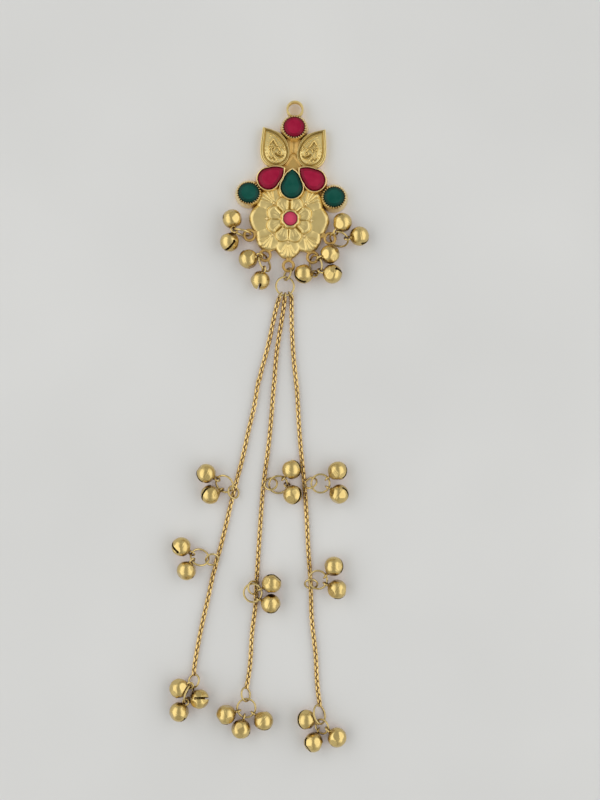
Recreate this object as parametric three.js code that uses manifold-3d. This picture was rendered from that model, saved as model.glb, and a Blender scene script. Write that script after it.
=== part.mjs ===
// A long jhumka earring of gilt brass, laid face up on a flat surface.
// Frame: millimetres, +X to the right and +Y towards the hanging ring as the front is looked at,
// +Z up from the surface, with the origin at the middle of the earring's footprint.
//
// A cast plate carries the hanging ring, two leaves, six set stones and a domed flower with a
// seventh stone. Four eyelets on the flower hold jump rings with small bells, and the fifth
// holds two rings and three box chains. Each chain has two bell drops on its side and one at its end.

import * as THREE from "three";
import { mergeVertices } from "three/addons/utils/BufferGeometryUtils.js";
import Module from "manifold-3d";

const wasm = await Module();
wasm.setup();

// ---- Driving dimensions (mm and degrees) ----

// Plate
const PLATE_TURN = -2.4; // the plate lies turned a little clockwise about the flower's centre
const BACK_Z = 0; // the plate's flat back
const NECK_THICK = 1.3; // web that joins leaves, bezels and flower

// Flower
const PETALS = 8;
const FLOWER_R = 11.2; // to the petal tips
const NOTCH_DEPTH = 1.1; // of the notches between the outer petals
const INNER_R = 6.7; // inner row of petals
const FLOWER_RIM_Z = 1.5; // top of the rolled edge
const FLOWER_SHOULDER_Z = 2.5; // outer petals, just inside the edge
const FLOWER_TOP_Z = 3.3; // inner petals, beside the centre bezel
const PETAL_CROWN = 0.35; // rise of a petal's middle over its sides
const FLOWER_STEPS = 6; // facets across one petal

// Bezels and stones
const WALL = 0.55; // bezel wall
const SEAT_GAP = 0.1; // between a stone and its cup, all round
const BEZEL_TOP = 3.5;
const SEAT_Z = 1.8; // floor of the cups
const STONE_TOP = 4.3; // table of the set stones
const GIRDLE_Z = 3.3; // where a stone's crown begins
const ROUND_STONE_R = 2.95;
const CENTRE_STONE_R = 1.95;
const CENTRE_SEAT_Z = 3.0;
const CENTRE_BEZEL_TOP = 4.1;
const CENTRE_STONE_TOP = 4.7;
const ROUND_SIDES = 14; // of round stones and their bezels

// Rings and wire
const WIRE_R = 0.28; // jump-ring wire
const RING_R = 2.55; // large jump rings, to the middle of the wire
const END_RING_R = 2; // the lower ring at the right chain's end
const LINK_R = 1.75; // small jump rings
const HANGER = { r: 1.95, wire: 0.45, y: 30.8, z: 1.2 }; // hanging ring at the top
const EYELET = { r: 1.45, wire: 0.4, z: 1.5, lug: 1.4 }; // cast eyelets on the flower
const RING_SIDES = 12;
const WIRE_SIDES = 5;

// Bells
const BELL_R = 2.7;
const BELL_SHELL = 0.3;
const BELL_Z = 2.72; // height of a lying bell's centre
const SLIT = 0.8; // width of the slit across the bell's mouth
const SLIT_DEPTH = 1.7; // along the bell's axis
const LOOP_R = 0.85; // wire eye on the bell, to the middle of its wire
const LOOP_WIRE_R = 0.26;
const LOOP_REACH = 3.4; // bell centre to the middle of its eye
const BELL_SIDES = 10;

// Chains
const CHAIN_R = 0.65; // half the width of the box chain
const CHAIN_Z = 0.66; // a chain's middle where it lies on the surface
const CHAIN_FACETS = 25; // along one chain
const CHAIN_EYE = { r: 0.75, wire: 0.25 }; // where a chain hangs on the centre ring

const deg = THREE.MathUtils.degToRad;
const UP = new THREE.Vector3(0, 0, 1);

// ---- Solids from geometries, and back ----

function solid(geometry, matrix) {
  const bare = new THREE.BufferGeometry();
  bare.setAttribute("position", geometry.getAttribute("position").clone());
  if (geometry.index) bare.setIndex(geometry.index.clone());
  if (matrix) bare.applyMatrix4(matrix);
  const merged = mergeVertices(bare, 1e-4);
  const corners = [];
  const index = merged.index.array;
  for (let i = 0; i < index.length; i += 3) {
    const [a, b, c] = index.slice(i, i + 3);
    if (a !== b && b !== c && c !== a) corners.push(a, b, c);
  }
  return new wasm.Manifold(
    new wasm.Mesh({
      numProp: 3,
      vertProperties: merged.attributes.position.array,
      triVerts: new Uint32Array(corners),
    }),
  );
}

function geometryOf(manifold) {
  const { vertProperties, triVerts } = manifold.getMesh();
  const geometry = new THREE.BufferGeometry();
  geometry.setAttribute("position", new THREE.BufferAttribute(vertProperties, 3));
  geometry.setIndex(new THREE.BufferAttribute(triVerts, 1));
  geometry.computeVertexNormals();
  return geometry;
}

function joined(solids) {
  return solids.reduce((all, next) => all.add(next));
}

function at(x, y, z = 0) {
  return new THREE.Matrix4().makeTranslation(x, y, z);
}

function heading(degrees) {
  return new THREE.Vector3(Math.cos(deg(degrees)), Math.sin(deg(degrees)), 0);
}

// ---- Materials ----

const gold = new THREE.MeshStandardMaterial({ color: 0xc9a24b, metalness: 1, roughness: 0.32 });
const bellGold = new THREE.MeshStandardMaterial({ color: 0xc6a548, metalness: 1, roughness: 0.2 });
const chainGold = new THREE.MeshStandardMaterial({ color: 0xd0a040, metalness: 1, roughness: 0.28 });
const red = new THREE.MeshStandardMaterial({ color: 0xa3123a, roughness: 0.25 });
const green = new THREE.MeshStandardMaterial({ color: 0x06563f, roughness: 0.25 });
const pink = new THREE.MeshStandardMaterial({ color: 0xc92a55, roughness: 0.25 });

// ---- Outlines in the plate's own plane, with the flower's centre at 0, 0 ----

// A teardrop with its round end at the origin and its point along +Y.
function tearShape(radius, length) {
  const side = Math.asin(radius / length); // where the straight flanks leave the round end
  const bulge = radius * 0.28;
  const shape = new THREE.Shape();
  const flank = new THREE.Vector2(Math.cos(side), Math.sin(side)).multiplyScalar(radius);
  shape.absarc(0, 0, radius, Math.PI - side, side, false);
  const middle = flank.clone().add(new THREE.Vector2(0, length)).multiplyScalar(0.5);
  middle.add(new THREE.Vector2(bulge * Math.cos(side), bulge * Math.sin(side)));
  shape.quadraticCurveTo(middle.x, middle.y, 0, length);
  shape.quadraticCurveTo(-middle.x, middle.y, -flank.x, flank.y);
  return shape;
}

function circleShape(radius) {
  const points = Array.from({ length: ROUND_SIDES }, (_, i) => {
    const turn = (2 * Math.PI * i) / ROUND_SIDES;
    return new THREE.Vector2(radius * Math.cos(turn), radius * Math.sin(turn));
  });
  return new THREE.Shape(points);
}

function extruded(shape, low, high, curveSegments = 6) {
  const geometry = new THREE.ExtrudeGeometry(shape, { depth: high - low, bevelEnabled: false, curveSegments });
  geometry.translate(0, 0, low);
  return geometry;
}

// Places a thing drawn about 0, 0 with its point along +Y, in the plate's plane.
function placed({ x, y, point = 90 }) {
  return at(x, y).multiply(new THREE.Matrix4().makeRotationZ(deg(point - 90)));
}

const ROUND_BEZELS = [
  { name: "top", x: 0, y: 25.6, stone: red },
  { name: "side_left", x: -11.9, y: 6.8, stone: green },
  { name: "side_right", x: 11.9, y: 6.6, stone: green },
];

// radius and length are the stone's: round end, and middle of the round end to the point
const TEAR_BEZELS = [
  { name: "drop_left", x: -6.6, y: 10.9, point: 36, radius: 2.9, length: 5.1, stone: red },
  { name: "drop_right", x: 6.3, y: 11, point: 144, radius: 2.9, length: 5.2, stone: red },
  { name: "drop_middle", x: 0, y: 8.8, point: 90, radius: 3, length: 4.9, stone: green },
];

const LEAVES = [
  { x: -5.3, y: 18.5, point: 116, side: 1 },
  { x: 5.3, y: 18.5, point: 64, side: -1 },
];
const LEAF = { round: 4.15, tip: 7.5, middle: 0.9, slab: 1.5, border: 2.3, ridge: 2, bud: 2.2 };

// angle round the flower's centre, and reach from it to the middle of the eyelet
const EYELETS = [
  { angle: 203, reach: 12.25 },
  { angle: 237, reach: 12.25 },
  { angle: 270, reach: 12.9 },
  { angle: 303, reach: 12.25 },
  { angle: 337, reach: 12.25 },
];

// ---- Plate ----

// A closed body from rings of points: each ring is joined to the next, and the ends are capped.
function lofted(rings) {
  const count = rings[0].length;
  const points = rings.flat().flatMap((p) => [p.x, p.y, p.z]);
  const corners = [];
  for (let ring = 0; ring + 1 < rings.length; ring++) {
    for (let i = 0; i < count; i++) {
      const a = ring * count + i;
      const b = ring * count + ((i + 1) % count);
      corners.push(a, b, b + count, a, b + count, a + count);
    }
  }
  const last = (rings.length - 1) * count;
  for (let i = 1; i + 1 < count; i++) {
    corners.push(0, i + 1, i);
    corners.push(last, last + i, last + i + 1);
  }
  const geometry = new THREE.BufferGeometry();
  geometry.setAttribute("position", new THREE.Float32BufferAttribute(points, 3));
  geometry.setIndex(corners);
  return geometry;
}

// 1 in the middle of a petal and 0 in the groove beside it; half turns the row between the petals of the other.
function petalSwell(angle, half) {
  const phase = (PETALS * (angle - deg(270))) / 2 + (half ? Math.PI / 2 : 0);
  return Math.abs(Math.cos(phase));
}

function flowerEdge(angle) {
  return FLOWER_R - NOTCH_DEPTH * (1 - petalSwell(angle, false)) ** 0.8;
}

function flowerBody() {
  const count = PETALS * FLOWER_STEPS;
  const ring = (radiusAt, heightAt) =>
    Array.from({ length: count }, (_, i) => {
      const angle = (2 * Math.PI * i) / count;
      const r = radiusAt(angle);
      return new THREE.Vector3(r * Math.cos(angle), r * Math.sin(angle), heightAt(angle));
    });
  const outer = (angle) => PETAL_CROWN * petalSwell(angle, false);
  const inner = (angle) => PETAL_CROWN * petalSwell(angle, true);
  const innerEdge = (angle) => INNER_R - 0.9 * (1 - petalSwell(angle, true));
  return lofted([
    ring((a) => flowerEdge(a) - 0.3, () => BACK_Z),
    ring(flowerEdge, () => BACK_Z + 0.5),
    ring((a) => flowerEdge(a) - 0.1, () => FLOWER_RIM_Z),
    ring((a) => flowerEdge(a) - 1.1, (a) => FLOWER_SHOULDER_Z - 0.35 + outer(a)),
    ring((a) => innerEdge(a) + 0.35, (a) => FLOWER_SHOULDER_Z - 0.2 + 0.5 * outer(a)),
    ring(innerEdge, (a) => FLOWER_SHOULDER_Z + 0.15 + inner(a)),
    ring(() => 0.66 * INNER_R, (a) => FLOWER_TOP_Z - 0.3 + inner(a)),
    ring(() => CENTRE_STONE_R + 0.6, () => FLOWER_TOP_Z),
  ]);
}

function bezel(shape, cut, place, seat, top) {
  const body = solid(extruded(shape, BACK_Z, top), place);
  return body.subtract(solid(extruded(cut, seat, top + 1), place));
}

// A leaf's outline, drawn in by inset: round end about 0, 0, point along +Y. The flank towards the
// neck is the fuller one; it lies on +X where side is 1 and on -X where side is -1.
function leafShape(side, inset) {
  const size = 1 - inset / LEAF.round;
  const spot = (x, y) => [side * x * size, LEAF.middle + (y - LEAF.middle) * size];
  const shape = new THREE.Shape();
  shape.moveTo(...spot(0, LEAF.tip));
  shape.bezierCurveTo(...spot(-2.2, 4.4), ...spot(-LEAF.round, 1.8), ...spot(-LEAF.round, 0));
  for (let turn = 200; turn <= 360; turn += 20) {
    shape.lineTo(...spot(LEAF.round * Math.cos(deg(turn)), LEAF.round * Math.sin(deg(turn))));
  }
  shape.bezierCurveTo(...spot(4.75, 2.4), ...spot(3.7, 5.7), ...spot(0, LEAF.tip));
  return shape;
}

// A leaf is a slab with a raised border, an inner ridge and a raised bud with two side petals.
function leaf({ side, ...spot }) {
  const place = placed(spot);
  const slab = (inset, low, high) => solid(extruded(leafShape(side, inset), low, high, 5), place);
  const band = (from, to, top) => slab(from, BACK_Z, top).subtract(slab(to, LEAF.slab - 0.1, top + 1));
  const petal = (x, y, turn, size) =>
    solid(
      extruded(tearShape(size, 2.4 * size), 0.5, LEAF.bud, 2),
      place.clone().multiply(at(x, y)).multiply(new THREE.Matrix4().makeRotationZ(deg(turn))),
    );
  return joined([
    slab(0, BACK_Z, LEAF.slab),
    band(0, 0.5, LEAF.border),
    band(0.95, 1.25, LEAF.ridge),
    petal(0, 0.6, 0, 0.62),
    petal(-0.7, -0.7, 75, 0.5),
    petal(0.7, -0.7, -75, 0.5),
  ]);
}

// The web: a waisted strip from the top bezel down into the flower.
function neck() {
  const half = [
    [1.6, 25],
    [1.9, 21],
    [2.6, 15.5],
    [6.2, 14.2],
    [6.2, 9],
    [10.5, 6],
    [5, 2],
  ];
  const shape = new THREE.Shape();
  half.forEach(([x, y], i) => (i ? shape.lineTo(x, y) : shape.moveTo(x, y)));
  [...half].reverse().forEach(([x, y]) => shape.lineTo(-x, y));
  shape.closePath();
  return solid(extruded(shape, BACK_Z, NECK_THICK));
}

function hoop(radius, wire, matrix, sides = RING_SIDES, wireSides = 5) {
  return solid(new THREE.TorusGeometry(radius, wire, wireSides, sides), matrix);
}

function plateBody() {
  const round = ROUND_BEZELS.map((b) =>
    bezel(circleShape(ROUND_STONE_R + SEAT_GAP + WALL), circleShape(ROUND_STONE_R + SEAT_GAP), placed(b), SEAT_Z, BEZEL_TOP),
  );
  const tears = TEAR_BEZELS.map((b) => {
    const grown = (by) => tearShape(b.radius + by, b.length + 1.3 * by);
    return bezel(grown(SEAT_GAP + WALL), grown(SEAT_GAP), placed(b), SEAT_Z, BEZEL_TOP);
  });
  const eyelets = EYELETS.map(({ angle, reach }) => {
    const turned = new THREE.Matrix4().makeRotationZ(deg(angle));
    const inner = reach - EYELET.r;
    const lug = new THREE.BoxGeometry(2.4, EYELET.lug, 2 * EYELET.wire);
    return joined([
      hoop(EYELET.r, EYELET.wire, turned.clone().multiply(at(reach, 0, EYELET.z))),
      solid(lug, turned.clone().multiply(at(inner - 1.15, 0, EYELET.z))),
    ]);
  });
  const centre = solid(extruded(circleShape(CENTRE_STONE_R + SEAT_GAP + 0.45), 1, CENTRE_BEZEL_TOP));
  const body = joined([
    neck(),
    solid(flowerBody()),
    centre,
    ...LEAVES.map(leaf),
    ...round,
    ...tears,
    hoop(HANGER.r, HANGER.wire, at(0, HANGER.y, HANGER.z)),
    ...eyelets,
  ]);
  const pockets = [
    solid(extruded(circleShape(CENTRE_STONE_R + SEAT_GAP), CENTRE_SEAT_Z, FLOWER_TOP_Z + 5)),
    ...ROUND_BEZELS.map((b) => solid(extruded(circleShape(ROUND_STONE_R + SEAT_GAP), SEAT_Z, 9), placed(b))),
    ...TEAR_BEZELS.map((b) =>
      solid(extruded(tearShape(b.radius + SEAT_GAP, b.length + 1.3 * SEAT_GAP), SEAT_Z, 9), placed(b)),
    ),
  ];
  return pockets.reduce((left, pocket) => left.subtract(pocket), body);
}

const root = new THREE.Group();
const plate = new THREE.Group();
plate.rotation.z = deg(PLATE_TURN);
root.add(plate);

function piece(parent, name, geometry, material) {
  const mesh = new THREE.Mesh(geometry, material);
  mesh.name = name;
  parent.add(mesh);
  return mesh;
}

piece(plate, "plate", geometryOf(plateBody()), gold);

// ---- Stones: a straight girdle, a crown of facets and a flat table ----

// An outline's points without a repeated last one.
function openPoints(outline) {
  const points = outline.getPoints(3);
  if (points[0].distanceTo(points[points.length - 1]) < 1e-6) points.pop();
  return points;
}

function stone(outline, seat, girdle, top, table) {
  const points = openPoints(outline);
  const level = (scale, z) => points.map((p) => new THREE.Vector3(p.x * scale, table.y + (p.y - table.y) * scale, z));
  return lofted([level(1, seat), level(1, girdle), level(0.86, girdle + 0.6 * (top - girdle)), level(table.size, top)]);
}

function set(name, place, geometry, material) {
  const mesh = piece(plate, name, geometry, material);
  mesh.applyMatrix4(place);
}

const SEATED = SEAT_Z + SEAT_GAP;
for (const b of ROUND_BEZELS) {
  const cut = stone(circleShape(ROUND_STONE_R), SEATED, GIRDLE_Z, STONE_TOP, { y: 0, size: 0.5 });
  set(`stone_${b.name}`, placed(b), cut, b.stone);
}
for (const b of TEAR_BEZELS) {
  const cut = stone(tearShape(b.radius, b.length), SEATED, GIRDLE_Z, STONE_TOP, { y: 0.8, size: 0.5 });
  set(`stone_${b.name}`, placed(b), cut, b.stone);
}
const centreCut = stone(circleShape(CENTRE_STONE_R), CENTRE_SEAT_Z + SEAT_GAP, 4, CENTRE_STONE_TOP, { y: 0, size: 0.5 });
set("stone_centre", at(0, 0), centreCut, pink);

// ---- Jump rings ----
// x, y, z: centre. A ring starts flat, tilts about its own x axis, then turns about z.

const RINGS = {
  ring_left: { x: -13.5, y: -3.7, z: 2.9, r: RING_R, turn: 347, tilt: 81 },
  ring_low_left: { x: -7.2, y: -12.1, z: 2.6, r: RING_R, turn: 111, tilt: 60 },
  ring_low_right: { x: 7.1, y: -12.7, z: 2.3, r: RING_R, turn: 282, tilt: 51 },
  ring_right: { x: 13.6, y: -5.5, z: 2.2, r: RING_R, turn: 339, tilt: 47 },
  link_centre: { x: -0.8, y: -15.2, z: 1.8, r: LINK_R, turn: 71, tilt: 119 },
  ring_centre: { x: -1.5, y: -18.6, z: 1.9, r: RING_R, turn: 268, tilt: -13 },
  ring_left_high: { x: -18.4, y: -73.8, z: 2.3, r: RING_R, turn: 318, tilt: 30 },
  ring_left_low: { x: -25.3, y: -94.3, z: 2.3, r: RING_R, turn: 154, tilt: 40 },
  ring_mid_high: { x: -3.4, y: -74.1, z: 1.1, r: RING_R, turn: 185, tilt: -17 },
  ring_mid_low: { x: -10.5, y: -104.3, z: 2, r: RING_R, turn: 271, tilt: 9 },
  ring_right_high: { x: 8.4, y: -73.7, z: 2.2, r: RING_R, turn: 50, tilt: -6 },
  ring_right_low: { x: 7.7, y: -100.6, z: 2.2, r: RING_R, turn: 298, tilt: 8 },
  ring_left_end: { x: -28.3, y: -132.2, z: 2.7, r: RING_R, turn: 73, tilt: 70 },
  ring_mid_end: { x: -12.3, y: -136.4, z: 2.2, r: RING_R, turn: 119, tilt: 6 },
  ring_right_end: { x: 8.8, y: -141.6, z: 2, r: END_RING_R, turn: 96, tilt: -32 },
};

function ringFrame({ x, y, z, turn, tilt }) {
  const spin = new THREE.Matrix4().makeRotationZ(deg(turn)).multiply(new THREE.Matrix4().makeRotationX(deg(tilt)));
  return at(x, y, z).multiply(spin);
}

for (const [name, ring] of Object.entries(RINGS)) {
  const mesh = piece(root, name, new THREE.TorusGeometry(ring.r, WIRE_R, WIRE_SIDES, RING_SIDES), gold);
  mesh.applyMatrix4(ringFrame(ring));
}

// A point on a ring's wire, and the way the wire runs there.
function wireAt(ring, on) {
  const frame = ringFrame(ring);
  const point = heading(on).multiplyScalar(ring.r).applyMatrix4(frame);
  const run = heading(on + 90).transformDirection(frame);
  return { point, run };
}

// ---- Bells ----
// on: where the bell's eye sits on its ring; to: the way the bell points in plan, away from its eye;
// roll: 0 where the slit lies level, positive where its left end is turned up, 90 where it stands.

const BELLS = [
  { name: "left_a", ring: "ring_left", on: 155, to: 99, roll: 25 },
  { name: "left_b", ring: "ring_left", on: 213, to: 246, roll: 60 },
  { name: "low_left_a", ring: "ring_low_left", on: 36, to: 192, roll: -25 },
  { name: "low_left_b", ring: "ring_low_left", on: 138, to: 250, roll: 80 },
  { name: "low_right_a", ring: "ring_low_right", on: 333, to: 183, roll: 25 },
  { name: "low_right_b", ring: "ring_low_right", on: 123, to: 24, roll: 0 },
  { name: "low_right_c", ring: "ring_low_right", on: 38, to: 346, roll: 25 },
  { name: "right_a", ring: "ring_right", on: 127, to: 56, roll: -10 },
  { name: "right_b", ring: "ring_right", on: 34, to: 11, roll: -25 },
  { name: "left_high_a", ring: "ring_left_high", on: 190, to: 153, roll: 25 },
  { name: "left_high_b", ring: "ring_left_high", on: 280, to: 200, roll: -40 },
  { name: "left_low_a", ring: "ring_left_low", on: 0, to: 147, roll: 25 },
  { name: "left_low_b", ring: "ring_left_low", on: 56, to: 239, roll: 15 },
  { name: "mid_high_a", ring: "ring_mid_high", on: 228, to: 47, roll: -20 },
  { name: "mid_high_b", ring: "ring_mid_high", on: 171, to: 301, roll: 25 },
  { name: "mid_low_a", ring: "ring_mid_low", on: 116, to: 27, roll: 15 },
  { name: "mid_low_b", ring: "ring_mid_low", on: 46, to: 340, roll: -30 },
  { name: "right_high_a", ring: "ring_right_high", on: 346, to: 37, roll: -25 },
  { name: "right_high_b", ring: "ring_right_high", on: 281, to: 330, roll: 35 },
  { name: "right_low_a", ring: "ring_right_low", on: 91, to: 50, roll: -25 },
  { name: "right_low_b", ring: "ring_right_low", on: 36, to: 335, roll: -25 },
  { name: "left_end_a", ring: "ring_left_end", on: 20, to: 197, roll: 30 },
  { name: "left_end_b", ring: "ring_left_end", on: 171, to: 236, roll: 30 },
  { name: "left_end_c", ring: "ring_left_end", on: 215, to: 11, roll: 70 },
  { name: "mid_end_a", ring: "ring_mid_end", on: 79, to: 196, roll: 22 },
  { name: "mid_end_b", ring: "ring_mid_end", on: 136, to: 256, roll: 15 },
  { name: "mid_end_c", ring: "ring_mid_end", on: 204, to: 326, roll: -35 },
  { name: "right_end_a", ring: "ring_right_end", on: 53, to: 160, roll: 22 },
  { name: "right_end_b", ring: "ring_right_end", on: 133, to: 245, roll: -25 },
  { name: "right_end_c", ring: "ring_right_end", on: 248, to: 318, roll: -20 },
];

// Drawn with its eye at the origin and its body hanging along -Z; the eye's hole looks along X.
// slitTurn: angle from X, about Z, to the way the slit runs.
function bellBody(slitTurn) {
  const profile = (radius, bands) =>
    Array.from({ length: bands + 1 }, (_, i) => {
      const a = (Math.PI * i) / bands - Math.PI / 2;
      return new THREE.Vector2(i % bands ? radius * Math.cos(a) : 0, radius * Math.sin(a));
    });
  const centre = at(0, 0, -LOOP_REACH);
  const outside = solid(new THREE.LatheGeometry(profile(BELL_R, 5), BELL_SIDES), centre);
  const inside = solid(new THREE.LatheGeometry(profile(BELL_R - BELL_SHELL, 3), 6), centre);
  const eye = solid(new THREE.TorusGeometry(LOOP_R, LOOP_WIRE_R, 4, 8), new THREE.Matrix4().makeRotationY(Math.PI / 2));
  const slitBox = new THREE.BoxGeometry(3 * BELL_R, SLIT, SLIT_DEPTH);
  const mouth = at(0, 0, SLIT_DEPTH / 2 - BELL_R - 0.05);
  const slit = centre.clone().multiply(new THREE.Matrix4().makeRotationZ(slitTurn)).multiply(mouth);
  return outside.add(eye).subtract(inside).subtract(solid(slitBox, slit));
}

for (const { name, ring, on, to, roll } of BELLS) {
  const { point, run } = wireAt(RINGS[ring], on);
  const drop = BELL_Z - point.z;
  const away = heading(to).multiplyScalar(Math.sqrt(LOOP_REACH ** 2 - drop ** 2));
  const up = away.add(new THREE.Vector3(0, 0, drop)).normalize().negate();
  const across = run.clone().addScaledVector(up, -run.dot(up)).normalize();
  const second = up.clone().cross(across);
  const frame = new THREE.Matrix4().makeBasis(across, second, up).setPosition(point);
  const level = UP.clone().cross(up).normalize().applyAxisAngle(up, -deg(roll));
  const slitTurn = Math.atan2(level.dot(second), level.dot(across));
  piece(root, `bell_${name}`, geometryOf(bellBody(slitTurn)), bellGold).applyMatrix4(frame);
}

// ---- Chains ----
// A chain hangs by an eye on the centre ring, lies along its course, and carries small rings through
// its links: two at its side for the bell drops and one at its end.

const CHAINS = {
  left: {
    on: 333,
    course: [[-4.1, -24.8], [-5, -29.25], [-6.65, -36.9], [-9.2, -46], [-10.05, -51.95], [-11.95, -59.6],
      [-13.15, -65.75], [-15.9, -76.1], [-19.7, -92.2], [-21.45, -98.15], [-22.9, -105.1], [-24.8, -113.3],
      [-26.65, -123.2], [-27.17, -127.2]],
    links: [
      { x: -15.9, y: -76.1, z: 1.8, r: LINK_R, turn: 112, tilt: 42 },
      { x: -21.9, y: -95, z: 1.6, r: LINK_R, turn: 22, tilt: 28 },
      { x: -27, y: -129.1, z: 1.7, r: LINK_R, turn: 237, tilt: 42 },
    ],
  },
  middle: {
    on: 1,
    course: [[-2, -25.2], [-2.65, -29.25], [-3.85, -36.9], [-4.35, -42.8], [-4.85, -48.45], [-5.4, -55.8],
      [-6.35, -65.2], [-7.6, -74.15], [-8.9, -92.2], [-9.55, -102.1], [-9.8, -108.05], [-10.8, -115.75],
      [-11.3, -124.95], [-12.31, -130.95]],
    links: [
      { x: -5.5, y: -73.9, z: 1.1, r: LINK_R, turn: 198, tilt: 28 },
      { x: -10.4, y: -102.8, z: 2.1, r: LINK_R, turn: 103, tilt: 44 },
      { x: -12.5, y: -132.8, z: 1.8, r: 1.8, turn: 105, tilt: 55 },
    ],
  },
  right: {
    on: 35,
    course: [[0.35, -24.8], [0.35, -27.2], [0.55, -33.55], [1.1, -41.2], [1.85, -47.7], [2.35, -56.85],
      [2.9, -64.3], [4.1, -76.1], [5.2, -95.7], [5.7, -101.65], [5.95, -111.85], [7.1, -121.75],
      [7.45, -130.45], [8.25, -135.95]],
    links: [
      { x: 5.7, y: -73.6, z: 1.6, r: LINK_R, turn: 212, tilt: 45 },
      { x: 5.8, y: -101.8, z: 2, r: LINK_R, turn: 357, tilt: 38 },
      { x: 8.1, y: -138.2, z: 2.5, r: RING_R, turn: 110, tilt: 58 },
    ],
  },
};

// A smooth course that never dips under the surface.
class Laid extends THREE.CatmullRomCurve3 {
  getPoint(t, target) {
    const point = super.getPoint(t, target);
    point.z = Math.max(point.z, CHAIN_Z);
    return point;
  }
}

const section = new THREE.Shape();
for (let i = 0; i < 8; i++) {
  const a = Math.PI / 8 + (i * Math.PI) / 4;
  const p = [CHAIN_R * Math.cos(a), CHAIN_R * Math.sin(a)];
  if (i) section.lineTo(...p);
  else section.moveTo(...p);
}
section.closePath();

for (const [name, { on, course, links }] of Object.entries(CHAINS)) {
  const { point, run } = wireAt(RINGS.ring_centre, on);
  const out = point.clone().sub(new THREE.Vector3(RINGS.ring_centre.x, RINGS.ring_centre.y, point.z)).normalize();
  const top = point.clone().addScaledVector(out, CHAIN_EYE.r + 0.1);
  const path = new Laid([top, ...course.map(([x, y]) => new THREE.Vector3(x, y, CHAIN_Z))], false, "centripetal");
  const body = new THREE.ExtrudeGeometry(section, {
    steps: CHAIN_FACETS,
    extrudePath: path,
    bevelEnabled: false,
  });
  const side = run.clone().addScaledVector(out, -run.dot(out)).normalize();
  const eyeFrame = new THREE.Matrix4().makeBasis(out, side.clone().cross(out), side).setPosition(point);
  const rings = links.map((l) => solid(new THREE.TorusGeometry(l.r, WIRE_R, WIRE_SIDES, RING_SIDES), ringFrame(l)));
  const eye = solid(new THREE.TorusGeometry(CHAIN_EYE.r, CHAIN_EYE.wire, 4, 8), eyeFrame);
  piece(root, `chain_${name}`, geometryOf(joined([solid(body), eye, ...rings])), chainGold);
}

// ---- Origin: the middle of the footprint, on the surface ----

root.updateMatrixWorld(true);
const bounds = new THREE.Box3().setFromObject(root, true);
root.position.set(-(bounds.min.x + bounds.max.x) / 2, -(bounds.min.y + bounds.max.y) / 2, -bounds.min.z);

const group = new THREE.Group();
group.add(root);
export default group;
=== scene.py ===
"""A long gilt jhumka earring, lying face up on a pale table.

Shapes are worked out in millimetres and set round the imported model: the plate's pieces in its own
plane, with the flower's centre at 0, 0, and the rings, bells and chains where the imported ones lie.
"""

import math

import bpy
import numpy as np
from mathutils import Matrix, Vector


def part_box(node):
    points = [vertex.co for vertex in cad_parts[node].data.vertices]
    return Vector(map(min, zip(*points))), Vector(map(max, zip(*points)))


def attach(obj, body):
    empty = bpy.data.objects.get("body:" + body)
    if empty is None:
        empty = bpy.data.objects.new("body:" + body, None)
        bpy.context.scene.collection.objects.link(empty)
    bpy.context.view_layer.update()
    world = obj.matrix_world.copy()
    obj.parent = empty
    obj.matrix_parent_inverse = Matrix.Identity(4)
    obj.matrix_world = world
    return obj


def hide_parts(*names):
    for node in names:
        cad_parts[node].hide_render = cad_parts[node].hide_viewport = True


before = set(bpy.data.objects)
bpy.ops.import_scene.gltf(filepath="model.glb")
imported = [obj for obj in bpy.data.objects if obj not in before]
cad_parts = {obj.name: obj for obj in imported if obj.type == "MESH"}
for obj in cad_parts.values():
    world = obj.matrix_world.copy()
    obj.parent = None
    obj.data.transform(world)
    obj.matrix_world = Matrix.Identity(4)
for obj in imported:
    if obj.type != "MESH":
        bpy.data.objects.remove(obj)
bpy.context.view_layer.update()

MM = 0.001
BODY = "root"

# ---- Sizes, in millimetres and degrees ----

# Flower: angles are counted from the middle of the petal at the bottom
PETALS = 8
FLOWER_AT = (-0.35, -0.1)  # the stone isn't quite in its middle
FLOWER_R = 11.3
NOTCH_DEPTH = 1.1
LOW_NOTCH_DEPTH = 0.9  # more, on both sides of the bottom petal
LOW_TIP = 10.85  # where the bottom petal is cut off straight
RIM_Z = 1.35
SHOULDER_Z = 2.45
ROLL_WIDTH = 1.5  # of the edge that rolls down
OUTER_CROWN = 0.45
INNER_R = 6.75
INNER_NOTCH = 1.15
TOP_Z = 2.92
INNER_SLOPE = 0.12  # down from the centre stone to an inner petal's tip
INNER_CROWN = 0.42
DISH_DEPTH = 0.16
LIP_HEIGHT = 0.13
TIP_FALL = 0.34  # width of the fall from an inner petal's tip
TIP_GROOVE = 0.07  # depth of the groove at its foot
FLUTE_HEIGHT = 0.05
FLUTE_HALF = 0.11
FAN_START = 6.2  # from the flower's centre to where a petal's pleats meet
FAN_PITCH = 16.0  # between two pleats
FAN_HEIGHT = 0.21
FAN_HALF = 0.18
BUD_REACH = 6.25  # from the flower's centre to a bud
# how high the pleats of each outer petal are, from the bottom one anticlockwise
FAN_SHARES = [1.0, 1.0, 0.1, 1.0, 0.7, 1.0, 0.1, 1.0]
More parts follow.
